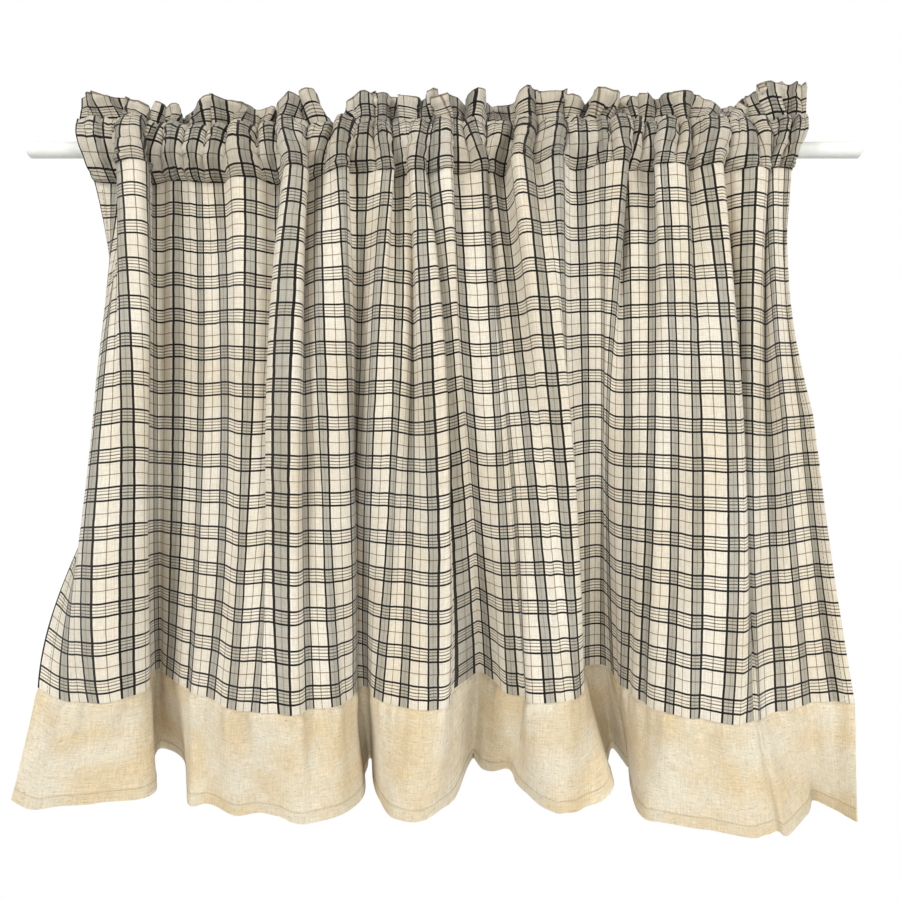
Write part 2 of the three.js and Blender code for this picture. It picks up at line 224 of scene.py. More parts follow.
# How much higher (+) or lower the cloth hangs at three levels.
RISE_COLUMNS = ("u", "seam", "middle", "edge")
RISES = (
    (0, -6, -4, -4),
    (40, -5, -2, -2),
    (70, 2, 4, 4),
    (120, 0, 1, 5),
    (150, 0, 0, 5),
    (181, -1, -2, 1),
    (204, -2, -2, 0),
    (226, -3, -5, -3),
    (250, -3, -5, -3),
    (274, -2, -2, -2),
    (300, -3, -3, -3),
    (345, -2, -2, -2),
    (370, 0, 0, 0),
    (390, -1, -2, -2),
    (428, -1, -3, -3),
    (507, -1, -3, -3),
    (530, 0, 3, 3),
    (555, 0, -1, -1),
    (576, 0, 0, 0),
    (637, 1, 2, 2),
    (655, 2, 2, 2),
    (672, 1, 3, 3),
    (690, 1, 9, 9),
    (716, 0, 9, 9),
    (745, 0, 3, 3),
    (765, 0, 0, 0),
    (795, 0, -1, -1),
    (840, -1, -3, -3),
    (861, -2, -5, -5),
    (928, -2, -4, -8),
    (955, -3, -6, -6),
    (988, -1, -2, -2),
    (1027, -1, -1, -1),
)

# A row for each ripple of the standing heading's top edge.
RIPPLE_COLUMNS = ("u", "x", "forward", "rise")
RIPPLES = (
    (0, -302, 10, 40),
    (56, -272, 9, 41),
    (73, -271, -8, 47),
    (85, -253, 13, 32),
    (96, -257, -8, 32),
    (121, -240, 9, 36),
    (130, -236, 2, 31),
    (141, -225, 14, 36),
    (158, -226, -12, 35),
    (171, -214, -2, 32),
    (188, -197, 14, 40),
    (208, -183, 12, 38),
    (240, -157, -5, 40),
    (248, -148, 8, 37),
    (257, -144, -6, 34),
    (272, -130, 14, 38),
    (303, -118, 9, 38),
    (332, -105, 13, 41),
    (342, -101, -8, 23),
    (357, -88, -6, 32),
    (371, -77, 8, 40),
    (385, -68, 14, 44),
    (409, -52, 14, 44),
    (429, -43, -6, 52),
    (444, -36, 14, 40),
    (473, -26, -6, 44),
    (503, -13, 15, 45),
    (514, -8, -6, 50),
    (524, -3, 13, 38),
    (545, 11, 4, 44),
    (559, 20, -8, 38),
    (574, 27, 14, 44),
    (590, 34, -7, 48),
    (621, 50, -8, 46),
    (632, 58, 8, 41),
    (642, 67, 14, 49),
    (658, 84, -4, 52),
    (667, 95, 13, 49),
    (683, 106, 11, 41),
    (698, 122, -8, 45),
    (709, 129, 14, 43),
    (745, 146, -8, 46),
    (781, 163, -5, 49),
    (800, 171, 12, 43),
    (810, 181, -4, 48),
    (832, 187, 8, 43),
    (849, 197, 14, 41),
    (859, 210, 2, 45),
    (889, 245, -10, 42),
    (912, 249, 12, 32),
    (936, 252, 2, 42),
    (984, 272, 13, 52),
    (1010, 287, 13, 50),
    (1027, 300, 11, 49),
)

# Where the gathered cloth has come to at the seam over the rod.
GATHER_COLUMNS = ("u", "x")
GATHERS = (
    (0, -297),
    (36, -272),
    (64, -263),
    (132, -236),
    (204, -187),
    (256, -147),
    (308, -113),
    (358, -82),
    (412, -52),
    (464, -28),
    (516, -5),
    (568, 22),
    (620, 52),
    (668, 93),
    (716, 124),
    (750, 146),
    (802, 172),
    (854, 204),
    (902, 236),
    (936, 250),
    (958, 265),
    (984, 276),
    (1027, 290),
)

# The pocket's two layers round the rod, from its lower seam (share 0) to the seam over the rod
# (share 1), where a valley comes close to the rod and where a ridge stands off it.
PROFILE_COLUMNS = ("share", "valley_forward", "valley_z", "ridge_forward", "ridge_z")
FRONT_PROFILE = (
    (0.0, -8, -20.5, 18, -20.5),
    (0.125, -3, -17, 19.5, -16),
    (0.25, 3, -12, 20, -10.5),
    (0.375, 7.5, -6.5, 20, -5),
    (0.5, 9, -1, 19, 0.5),
    (0.625, 9, 5, 17, 6.5),
    (0.75, 7.5, 11, 13.5, 12.5),
    (0.875, 4, 16, 9, 17.5),
    (1.0, -1, 17.5, 3, 18),
)
BACK_PROFILE = (
    (0.0, -9.3, -21, 16.7, -21),
    (0.2, -10, -15, 6, -16),
    (0.4, -9.5, -7, -5.5, -9),
    (0.6, -9, 1, -8.5, -1),
    (0.8, -8, 9, -8, 8),
    (0.9, -5, 14, -4.5, 14),
    (1.0, -2.4, 17.3, 1.6, 17.8),
)
VALLEY_FORWARD, RIDGE_FORWARD = -8, 18
# The roll of cloth over the rod's front: how far it stands out, the share of the pocket at which
# it is fullest, and the last share, over which it sinks into the seam.
KNOB_TOP, KNOB_END = 0.86, 0.12
KNOB_FORWARD, KNOB_RISE = 7.5, 6.0
TUCK_DEPTH, TUCK_WIDTH, TUCK_PULL, HEADING_TUCK = 4.8, 6, 4, 11
TUCK_REACH = 3.6  # how quickly a tuck opens out to either side
# How far rounded gathers stand over the cloth's mean and how far tucks sink below them, and the
# same level for the heading, whose tucks are full from the given share of its height.
GATHER_LEVEL, TUCK_SINK = 0.45, 1.25
HEADING_LEVEL, HEADING_TUCK_START = 0.25, 0.15

# Each kind of small unevenness: the seed of its noise, and its size across and down the cloth.
NOISES = {
    "wrinkles": (5, 34, 120),
    "creases": (29, 19, 330),
    "puckers": (23, 9, 300),
    "narrow_gathers": (3, 7, 400),
    "wide_gathers": (17, 15, 260),
    "crumples": (31, 8, 7),
    "frill_puckers": (11, 6.5, 90),
    "frill_waves": (13, 16, 80),
    "ruffle_aside": (41, 10, 100),
    "ruffle_forward": (43, 11, 100),
    "ruffle_rise": (47, 8, 100),
}
# Their heights. The gathers' are at the pocket's lower seam, with what the pocket and the heading
# add to them, and the narrow gathers' on the pocket's back.
WRINKLE, PUCKER, PUCKER_REACH, CREASE = 0.9, 0.7, 20, 3.8
CRUMPLE, CRUMPLE_LOST = 3.0, 0.4  # and the share of it that is lost by the heading's top
NARROW_GATHER = {"seam": 2.4, "pocket": 3.2, "heading": -2.2, "back": 0.6}
WIDE_GATHER = {"seam": 0.8, "heading": 4.5}
GATHER_FADE = 70  # how quickly the gathers die out down the body
RUFFLE_ASIDE, RUFFLE_FORWARD, RUFFLE_RISE = 4.5, 5, 2
HEADING_LAYER = 0.55  # how far each of the heading's two layers lies off their middle

# The frill's puckers and waves, and how they and the panel's wrinkles grow and fade down it. Its
# top edge is set back behind the panel and comes forward between the two given drops.
FRILL_PUCKER, FRILL_PUCKER_GROWTH, FRILL_PUCKER_FADE = 5.5, 2.5, 17
FRILL_WAVE, FRILL_WAVE_GROWTH, FRILL_WRINKLE_FADE = 1.8, 20, 45
FRILL_SET_BACK, SET_BACK_FROM, SET_BACK_TO = 1.5, 0.5, 4.0
HEM_EDGE = 0.8  # over which the frill thickens into its hem

# How far the side hems spread at the pocket and swing aside lower down, and over what width.
SIDE_SPREAD = {"left": -8, "right": 10, "reach": 45}
SIDE_BOW = {"left_below": -16, "right_above": -8, "reach": 35}


# --- curves through a table -----------------------------------------------------------------
def curve_through(table, columns, name):
    """The smooth curve through one column of a table, as a function of the first column."""
    at = np.array([row[0] for row in table], float)
    value = np.array([row[columns.index(name)] for row in table], float)
    span = np.diff(at)
    slope = np.diff(value) / span
    tangent = np.empty(len(at))
    tangent[0], tangent[-1] = slope[0], slope[-1]
    tangent[1:-1] = (slope[:-1] * span[1:] + slope[1:] * span[:-1]) / (span[1:] + span[:-1])

    def curve(u):
        i = np.clip(np.searchsorted(at, u, side="right") - 1, 0, len(at) - 2)
        s = (u - at[i]) / span[i]
        rise = s * s * (3 - 2 * s)
        bend = span[i] * s * (1 - s) * (tangent[i] * (1 - s) - tangent[i + 1] * s)
        return value[i] * (1 - rise) + value[i + 1] * rise + bend

    return curve


def curves_of(table, columns):
    return {name: curve_through(table, columns, name) for name in columns[1:]}


fold = curves_of(FOLDS, FOLD_COLUMNS)
seam = curves_of(SEAM, SEAM_COLUMNS)
rise = curves_of(RISES, RISE_COLUMNS)
ripple = curves_of(RIPPLES, RIPPLE_COLUMNS)
gather_x = curves_of(GATHERS, GATHER_COLUMNS)["x"]
front_profile = curves_of(FRONT_PROFILE, PROFILE_COLUMNS)
back_profile = curves_of(BACK_PROFILE, PROFILE_COLUMNS)


def mix(a, b, share):
    return a + (b - a) * share


def ease(share):
    return share * share * (3 - 2 * share)


class SmoothNoise:
    """Smooth noise over the flat cloth, from -1 to 1, with a size across and a size down."""

    CELLS = 128
    START = (7.3, 31.7)

    def __init__(self, seed, across, down):
        self.across, self.down = across, down
        self.values = np.random.default_rng(seed).uniform(-1, 1, (self.CELLS, self.CELLS))

    def at(self, i, j):
        return self.values[i % self.CELLS, j % self.CELLS]

    def __call__(self, u, v):
        x, y = u / self.across + self.START[0], v / self.down + self.START[1]
        i, j = np.floor(x).astype(int), np.floor(y).astype(int)
        a, b = ease(x - i), ease(y - j)
        above = mix(self.at(i, j), self.at(i + 1, j), a)
        return mix(above, mix(self.at(i, j + 1), self.at(i + 1, j + 1), a), b)


noise = {name: SmoothNoise(*row) for name, row in NOISES.items()}


def creased(name, u, v):
    """Noise folded over into sharp valleys between rounded ridges, about level in the mean."""
    return np.abs(noise[name](u, v)) - 0.3


# --- where the cloth lies ---------------------------------------------------------------------
# Each function takes an array of u and returns arrays (x, forward, z).
def bow_at(u, v):
    """How far the side hems swing aside between the levels of the folds table."""
    if v < MIDDLE_DROP:
        swing = SIDE_BOW["right_above"] * math.sin(math.pi * v / MIDDLE_DROP)
        return swing * np.exp((u - CLOTH_WIDTH) / SIDE_BOW["reach"])
    share = min(1, (v - MIDDLE_DROP) / (BODY_LENGTH - MIDDLE_DROP))
    swing = SIDE_BOW["left_below"] * 6.75 * share**2 * (1 - share)  # 6.75 makes the peak 1
    return swing * np.exp(-u / SIDE_BOW["reach"])


def along_body(top, middle, edge, v):
    """The parabola through the values at the pocket's seam, the middle and the lower edge."""
    upper_slope = (middle - top) / MIDDLE_DROP
    whole_slope = (edge - top) / BODY_LENGTH
    bend = (whole_slope - upper_slope) / (BODY_LENGTH - MIDDLE_DROP)
    return top + upper_slope * v + bend * v * (v - MIDDLE_DROP)


def body_plan(u, v):
    """x and forward of the body, or of the frill below it."""
    if v <= BODY_LENGTH:
        x = along_body(seam["x"](u), fold["middle_x"](u), fold["edge_x"](u), v)
        forward = along_body(
            seam["forward"](u), fold["middle_forward"](u), fold["edge_forward"](u), v
        )
        return x + bow_at(u, v), forward
    share = (v - BODY_LENGTH) / FRILL_DROP
    return (
        mix(fold["edge_x"](u), fold["hem_x"](u), share),
        mix(fold["edge_forward"](u), fold["hem_forward"](u), share),
    )


def rise_over(u, v):
    """How much higher the cloth hangs at v than it does at the pocket's seam."""
    seam_rise, middle, edge = rise["seam"](u), rise["middle"](u), rise["edge"](u)
    if v <= MIDDLE_DROP:
        return (middle - seam_rise) * v / MIDDLE_DROP
    share = min(1, (v - MIDDLE_DROP) / (BODY_LENGTH - MIDDLE_DROP))
    return mix(middle, edge, share) - seam_rise


def hanging_rows(u, drops):
    """The body's rows at the given drops, with the height that the cloth's slope leaves them."""
    rows = []
    z = POCKET_SEAM_Z + rise["seam"](u)
    x, forward = body_plan(u, 0.0)
    v = 0.0
    for drop in drops:
        steps = max(1, round((drop - v) / HANGING_STEP))
        step = (drop - v) / steps
        for _ in range(steps if drop > v else 0):
            v += step
            next_x, next_forward = body_plan(u, v)
            aside = np.hypot(next_x - x, next_forward - forward)
            z = z - np.sqrt(np.maximum(step**2 - aside**2, (LEAST_FALL * step) ** 2))
            z += rise_over(u, v) - rise_over(u, v - step)
            x, forward = next_x, next_forward
        rows.append((x, forward, z))
    return rows


def spread_at(u):
    """How far the side hems stand out at the seam over the rod."""
    reach = SIDE_SPREAD["reach"]
    left = SIDE_SPREAD["left"] * np.exp(-u / reach)
    return left + SIDE_SPREAD["right"] * np.exp((u - CLOTH_WIDTH) / reach)


def ridge_share(u):
    """0 where a pleat's valley is at the pocket's lower seam and 1 where its ridge is."""
    return (seam["forward"](u) - VALLEY_FORWARD) / (RIDGE_FORWARD - VALLEY_FORWARD)


def tuck_share(u):
    """1 in a tuck of the pocket, falling to 0 on the rounded gathers."""
    away = np.min(np.abs(u[None, :] - np.array(TUCKS)[:, None]), axis=0)
    return np.exp(-away / TUCK_REACH)


def pulled_to_tucks(u, share):
    """How far the gathering draws the cloth aside, towards the nearest tuck."""
    from_tucks = u[None, :] - np.array(TUCKS)[:, None]
    pull = from_tucks / TUCK_WIDTH * np.exp(-np.abs(from_tucks) / TUCK_WIDTH)
    return -TUCK_PULL * ease(share) * pull.sum(axis=0)


def pocket_at(u, share, profile):
    """share 0 is the pocket's lower seam and share 1 the seam over the rod."""
    ridge = ridge_share(u)
    at = np.full(len(u), share)
    seam_x = gather_x(u) + spread_at(u)
    x = mix(seam["x"](u), seam_x, ease(share))
    forward = mix(profile["valley_forward"](at), profile["ridge_forward"](at), ridge)
    z = mix(profile["valley_z"](at), profile["ridge_z"](at), ridge)
    z = z + rise["seam"](u) * (1 - share)
    x = x + pulled_to_tucks(u, share)
    if profile is front_profile:
        knob = math.sin(math.pi / 2 * min(1, share / KNOB_TOP)) ** 3
        knob *= min(1, (1 - share) / KNOB_END)
        gathered = GATHER_LEVEL - TUCK_SINK * tuck_share(u)
        forward = forward + (TUCK_DEPTH + KNOB_FORWARD * knob) * gathered
        z = z + KNOB_RISE * knob * gathered
        # The cloth stays in front of the rod.
        around_rod = ROD_RADIUS + ROD_GAP
        clear = np.sqrt(np.maximum(around_rod**2 - z**2, 0))
        forward = np.where(np.abs(z) < around_rod, np.maximum(forward, clear), forward)
    return x, forward, z


def heading_at(u, share):
    """share 0 is the seam over the rod and share 1 the heading's top edge."""
    seam_x, seam_forward, seam_z = pocket_at(u, 1.0, front_profile)
    tucked = (tuck_share(u) - HEADING_LEVEL) * (1 - share) * min(1, share / HEADING_TUCK_START)
    x = mix(seam_x, ripple["x"](u), ease(share))
    forward = mix(seam_forward, ripple["forward"](u), share**0.8) - HEADING_TUCK * tucked
    z = mix(seam_z, ripple["rise"](u) - RUFFLE_RISE, share)
    return (
        x + RUFFLE_ASIDE * share * noise["ruffle_aside"](u, 0),
        forward + RUFFLE_FORWARD * share * noise["ruffle_forward"](u, 0),
        z + RUFFLE_RISE * share * noise["ruffle_rise"](u, 0),
    )


# --- meshes -------------------------------------------------------------------------------------
def grid_normals(points):
    """Unit normals of a grid of points, with rows up the cloth's front and columns across it."""
    up = np.gradient(points, axis=0)
    across = np.gradient(points, axis=1)
    normal = np.cross(across, up)
    return normal / np.maximum(np.linalg.norm(normal, axis=2, keepdims=True), 1e-12)


def cloth_object(name, points, flat, thickness):
    """A closed sheet from a grid of middle points (mm). flat holds each point's u and v, and
    thickness is one number or one for each point."""
    rows, columns = points.shape[:2]
    half = np.broadcast_to(np.asarray(thickness, float) / 2, (rows, columns))[..., None]
    normal = grid_normals(points)
    front, back = points + normal * half, points - normal * half
    vertices = np.concatenate([front.reshape(-1, 3), back.reshape(-1, 3)]) * MM
    count = rows * columns
    index = np.arange(count).reshape(rows, columns)
    cells = np.stack([index[:-1, :-1], index[1:, :-1], index[1:, 1:], index[:-1, 1:]], axis=-1)
    cells = cells.reshape(-1, 4)
    border = np.concatenate([index[0, :], index[1:, -1], index[-1, -2::-1], index[-2:0:-1, 0]])
    after = np.roll(border, -1)
    edge = np.stack([border, after, after + count, border + count], axis=-1)
    faces = np.concatenate([cells, cells[:, ::-1] + count, edge])

    mesh = bpy.data.meshes.new(name)
    mesh.from_pydata(vertices.tolist(), [], faces.tolist())
    corner_vertex = np.empty(len(mesh.loops), dtype=np.int64)
    mesh.loops.foreach_get("vertex_index", corner_vertex)
    both = np.concatenate([flat.reshape(-1, 2)] * 2) * MM
    layer = mesh.uv_layers.new(name="Flat")
    layer.uv.foreach_set("vector", both[corner_vertex].astype(np.float32).ravel())
    bake_map(mesh, rows, columns, corner_vertex)
    mesh.shade_smooth()
    sharp = mesh.attributes.new("sharp_edge", "BOOLEAN", "EDGE")
    on_border = set(border.tolist())
    is_sharp = [
        a % count in on_border and b % count in on_border and (a < count) == (b < count)
        for a, b in mesh.edge_keys
    ]
    sharp.data.foreach_set("value", is_sharp)
    mesh.update()
    obj = bpy.data.objects.new(name, mesh)
    bpy.context.scene.collection.objects.link(obj)
    return obj


def bake_map(mesh, rows, columns, corner_vertex):
    """A second map with the front face in the left half of a square and the back in the right."""
    row, column = np.divmod(np.arange(rows * columns), columns)
    along = BAKE_MARGIN + (0.5 - 2 * BAKE_MARGIN) * column / (columns - 1)
    down = BAKE_MARGIN + (1 - 2 * BAKE_MARGIN) * (1 - row / (rows - 1))
    front = np.stack([along, down], axis=-1)
    back = front + [0.5, 0]
    layer = mesh.uv_layers.new(name="OFBake")
    both = np.concatenate([front, back])[corner_vertex]
    layer.uv.foreach_set("vector", both.astype(np.float32).ravel())


def as_points(rows):
    """Rows of (x, forward, z) as a grid of points."""
    return np.array([np.stack([x, -forward, z], axis=-1) for x, forward, z in rows])


def panel_grid():
    """The panel's middle surface in one sheet: up its front from the lower edge, over the top of
    the heading and down the back of the pocket. side is 1 on its front layer and -1 behind."""
    u = np.linspace(0, CLOTH_WIDTH, round(CLOTH_WIDTH / PANEL_GRID) + 1)
    upper = np.linspace(0, UPPER_BODY, ROWS["upper_body"] + 1)
    lower = np.linspace(UPPER_BODY, BODY_LENGTH, ROWS["body"] + 1)[1:]
    body_drops = np.concatenate([upper, lower])
    rows = hanging_rows(u, body_drops)[::-1]
    drops = list(body_drops[::-1])
    for share in np.linspace(0, 1, ROWS["pocket"] + 1)[1:]:
        rows.append(pocket_at(u, share, front_profile))
        drops.append(-POCKET_LENGTH * share)
    for share in np.linspace(0, 1, ROWS["heading"] + 1)[1:]:
        rows.append(heading_at(u, share))
        drops.append(-POCKET_LENGTH - HEADING_LENGTH * share)
    front_count = len(rows)
    for share in np.linspace(1, 0, ROWS["heading_back"] + 1)[:-1]:
        rows.append(heading_at(u, share))
        drops.append(-POCKET_LENGTH - HEADING_LENGTH * share)
    for share in np.linspace(1, 0, ROWS["pocket_back"] + 1):
        rows.append(pocket_at(u, share, back_profile))
        drops.append(-POCKET_LENGTH * share)
    points = as_points(rows)
    side = np.where(np.arange(len(rows)) < front_count, 1.0, -1.0)

    # The heading's two layers lie side by side, so each moves off their middle.
    heading = slice(front_count - ROWS["heading"] - 1, front_count + ROWS["heading_back"])
    points[heading] += grid_normals(points[heading]) * HEADING_LAYER
    flat = np.stack(np.broadcast_arrays(u[None, :], np.array(drops)[:, None]), axis=-1)
    return points, flat, side[:, None]


def body_wrinkles(u, v):
    """Soft wrinkles, long sharp creases below the pocket, and small puckers at the frill's seam."""
    puckers = noise["puckers"](u, v) * np.exp(-np.abs(BODY_LENGTH - v) / PUCKER_REACH)
    height = WRINKLE * noise["wrinkles"](u, v) + PUCKER * puckers
    return height + CREASE * creased("creases", u, v) * np.clip(v / UPPER_BODY, 0, 1)


def add_gathers(points, flat, side):
    """Rounded small gathers with sharp creases between them, strongest at the seam over the rod,
    and the wrinkles of the cloth below."""
    u, v = flat[..., 0], flat[..., 1]
    front, pocket_or_heading = side > 0, v < 0
    in_pocket = np.clip(-v / POCKET_LENGTH, 0, 1)
    above = np.clip(-v - POCKET_LENGTH, 0, HEADING_LENGTH) / HEADING_LENGTH
    below = np.exp(-np.maximum(v, 0) / GATHER_FADE)

    narrow = NARROW_GATHER["seam"] + NARROW_GATHER["pocket"] * in_pocket**2
    narrow = (narrow + NARROW_GATHER["heading"] * above) * below
    narrow = np.where(front, narrow, np.where(above > 0, -narrow, NARROW_GATHER["back"]))
    wide = (WIDE_GATHER["seam"] + WIDE_GATHER["heading"] * above) * below
    wide = np.where(above > 0, side * wide, np.where(front, wide, 0))

    height = np.abs(noise["narrow_gathers"](u, v)) * narrow + noise["wide_gathers"](u, v) * wide
    height += np.where(front, body_wrinkles(u, v), 0)
    crumpled = CRUMPLE * creased("crumples", u, v) * (1 - CRUMPLE_LOST * above)
    height += np.where(pocket_or_heading & front, crumpled, 0)
    return points + grid_normals(points) * height[..., None]


def make_panel():
    """The panel, and the stitches of its two seams round the rod and of its side hems."""
    points, flat, side = panel_grid()
    points = add_gathers(points, flat, side)
    in_hem = np.minimum(flat[..., 0], CLOTH_WIDTH - flat[..., 0]) < SIDE_HEM
    thickness = PANEL_THICKNESS + HEM_LAYER * in_hem
    front = int((side > 0).sum())
    body_rows = int((flat[:, 0, 1] > 0).sum())
    drops = (STITCH_INSET, -POCKET_LENGTH)
    seams = row_stitches(points[:front], flat[:front], drops, PANEL_THICKNESS)
    sides = side_stitches(points, flat, body_rows, PANEL_THICKNESS + HEM_LAYER)
    return (
        cloth_object("panel_cloth", points, flat, thickness),
        make_stitches("panel_stitches", np.concatenate([seams, sides])),
    )


def make_frill():
    """The frill, puckered below the panel's lower edge, and the stitches of its hem."""
    u = np.linspace(0, CLOTH_WIDTH, round(CLOTH_WIDTH / FRILL_GRID) + 1)
    lap = np.linspace(-FRILL_LAP, 0, ROWS["frill_lap"] + 1)
    drops = np.concatenate([lap, np.linspace(0, FRILL_DROP, ROWS["frill"] + 1)[1:]])[::-1]
    points = as_points(hanging_rows(u, BODY_LENGTH + drops[::-1]))[::-1]
    flat = np.stack(np.broadcast_arrays(u[None, :], drops[:, None]), axis=-1)

    across, down = flat[..., 0], flat[..., 1]
    below = np.maximum(down, 0)
    grown = 1 - np.exp(-below / FRILL_PUCKER_GROWTH)
    puckers = creased("frill_puckers", across, down) * grown * np.exp(-below / FRILL_PUCKER_FADE)
    waves = noise["frill_waves"](across, down) * np.minimum(1, below / FRILL_WAVE_GROWTH)
    wrinkles = body_wrinkles(across, np.full_like(below, BODY_LENGTH))
    height = wrinkles * np.exp(-below / FRILL_WRINKLE_FADE)
    height += FRILL_PUCKER * puckers + FRILL_WAVE * waves
    out_from_behind = np.clip((down - SET_BACK_FROM) / (SET_BACK_TO - SET_BACK_FROM), 0, 1)
    height -= FRILL_SET_BACK * (1 - ease(out_from_behind))
    points = points + grid_normals(points) * height[..., None]

    hem_start = FRILL_DROP - HEM_DEPTH
    in_hem = np.clip((down - hem_start) / HEM_EDGE, 0, 1)
    drops = (hem_start + STITCH_INSET,)
    stitches = row_stitches(points, flat, drops, FRILL_THICKNESS + HEM_LAYER)
    return (
        cloth_object("frill_cloth", points, flat, FRILL_THICKNESS + HEM_LAYER * in_hem),
        make_stitches("frill_stitches", stitches),
    )


def make_rod():
    """The rod as one turned shape, its square ends slightly bevelled, in the CAD rod's place."""
    low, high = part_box("rod")
    radius = ROD_RADIUS * MM
    profile = ((low[0], 0), (low[0], radius - BEVEL * MM), (low[0] + BEVEL * MM, radius))
    profile += tuple((low[0] + high[0] - x, r) for x, r in profile[::-1])
    bm = bmesh.new()
    rings = []
    for x, r in profile:
        if r == 0:
            rings.append([bm.verts.new((x, 0, 0))] * ROD_SIDES)
            continue
        angles = [2 * math.pi * k / ROD_SIDES for k in range(ROD_SIDES)]
        rings.append([bm.verts.new((x, r * math.cos(a), r * math.sin(a))) for a in angles])
    for first, second in zip(rings, rings[1:]):
        for k in range(ROD_SIDES):
            corners = [first[k], first[k - 1], second[k - 1], second[k]]
            bm.faces.new(list(dict.fromkeys(corners)))
    mesh = bpy.data.meshes.new("rod_tube")
    bm.normal_update()
    bmesh.ops.recalc_face_normals(bm, faces=bm.faces)
    bm.to_mesh(mesh)
    bm.free()
    mesh.set_sharp_from_angle(angle=math.radians(30))
    obj = bpy.data.objects.new("rod_tube", mesh)
    bpy.context.scene.collection.objects.link(obj)
    return obj


# --- stitches -----------------------------------------------------------------------------------
def stitch_line(points, normals):
    """Middle, direction and outward normal of each stitch along a line of points (mm)."""
    run = np.concatenate([[0], np.cumsum(np.linalg.norm(np.diff(points, axis=0), axis=1))])
    at = np.arange(STITCH_SPACING / 2, run[-1], STITCH_SPACING)

    def along_run(values, where):
        return np.stack([np.interp(where, run, values[:, k]) for k in range(3)], axis=-1)

    out = along_run(normals, at)
    out /= np.linalg.norm(out, axis=1, keepdims=True)
    reach = STITCH_LENGTH / 2
    along = along_run(points, at + reach) - along_run(points, at - reach)
    along /= np.maximum(np.linalg.norm(along, axis=1, keepdims=True), 1e-9)
    return np.concatenate([along_run(points, at), along, out], axis=1)


def make_stitches(name, stitches):
    """Short four-sided bars of thread, each half sunk in the cloth's face."""
    middle, along, out = stitches[:, :3], stitches[:, 3:6], stitches[:, 6:]
    aside = np.cross(along, out)
    half = STITCH_WIDTH / 2
    corners = []
    for end in (-0.5, 0.5):
        for side, lift in ((-half, 0), (0, half), (half, 0), (0, -half)):
            reach = along * (end * STITCH_LENGTH)
            corners.append(middle + reach + aside * side + out * lift)
    vertices = np.stack(corners, axis=1).reshape(-1, 3) * MM
    bar = [(k, (k + 1) % 4, 4 + (k + 1) % 4, 4 + k) for k in range(4)]
    bar += [(3, 2, 1, 0), (4, 5, 6, 7)]
    faces = [[8 * i + k for k in face] for i in range(len(stitches)) for face in bar]
    mesh = bpy.data.meshes.new(name)
    mesh.from_pydata(vertices.tolist(), [], faces)
    mesh.update()
    obj = bpy.data.objects.new(name, mesh)
    bpy.context.scene.collection.objects.link(obj)
    return obj


def row_stitches(points, flat, drops, thickness):
    """Stitches along the cloth's front at the given v, from a sheet's grid."""
    normal = grid_normals(points)
    lines = []
    for drop in drops:
        i = int(np.argmin(np.abs(flat[:, 0, 1] - drop)))
        face = points[i] + normal[i] * (thickness / 2)
        lines.append(stitch_line(face, normal[i]))
    return np.concatenate(lines)


def side_stitches(points, flat, rows, thickness):
    """Stitches along both side hems, over the given number of rows from the lower edge."""
    normal = grid_normals(points)
    inset = SIDE_HEM - STITCH_INSET
    lines = []
    for u in (inset, CLOTH_WIDTH - inset):
        j = int(np.argmin(np.abs(flat[0, :, 0] - u)))
        face = points[:rows, j] + normal[:rows, j] * (thickness / 2)
        lines.append(stitch_line(face, normal[:rows, j]))
    return np.concatenate(lines)


# --- materials ------------------------------------------------------------------------------------
def srgb(*shown):
    """A linear colour from the red, green and blue (0 to 255) that it shows as."""
    return tuple(((c / 255 + 0.055) / 1.055) ** 2.4 if c > 10 else c / 3294.6 for c in shown)


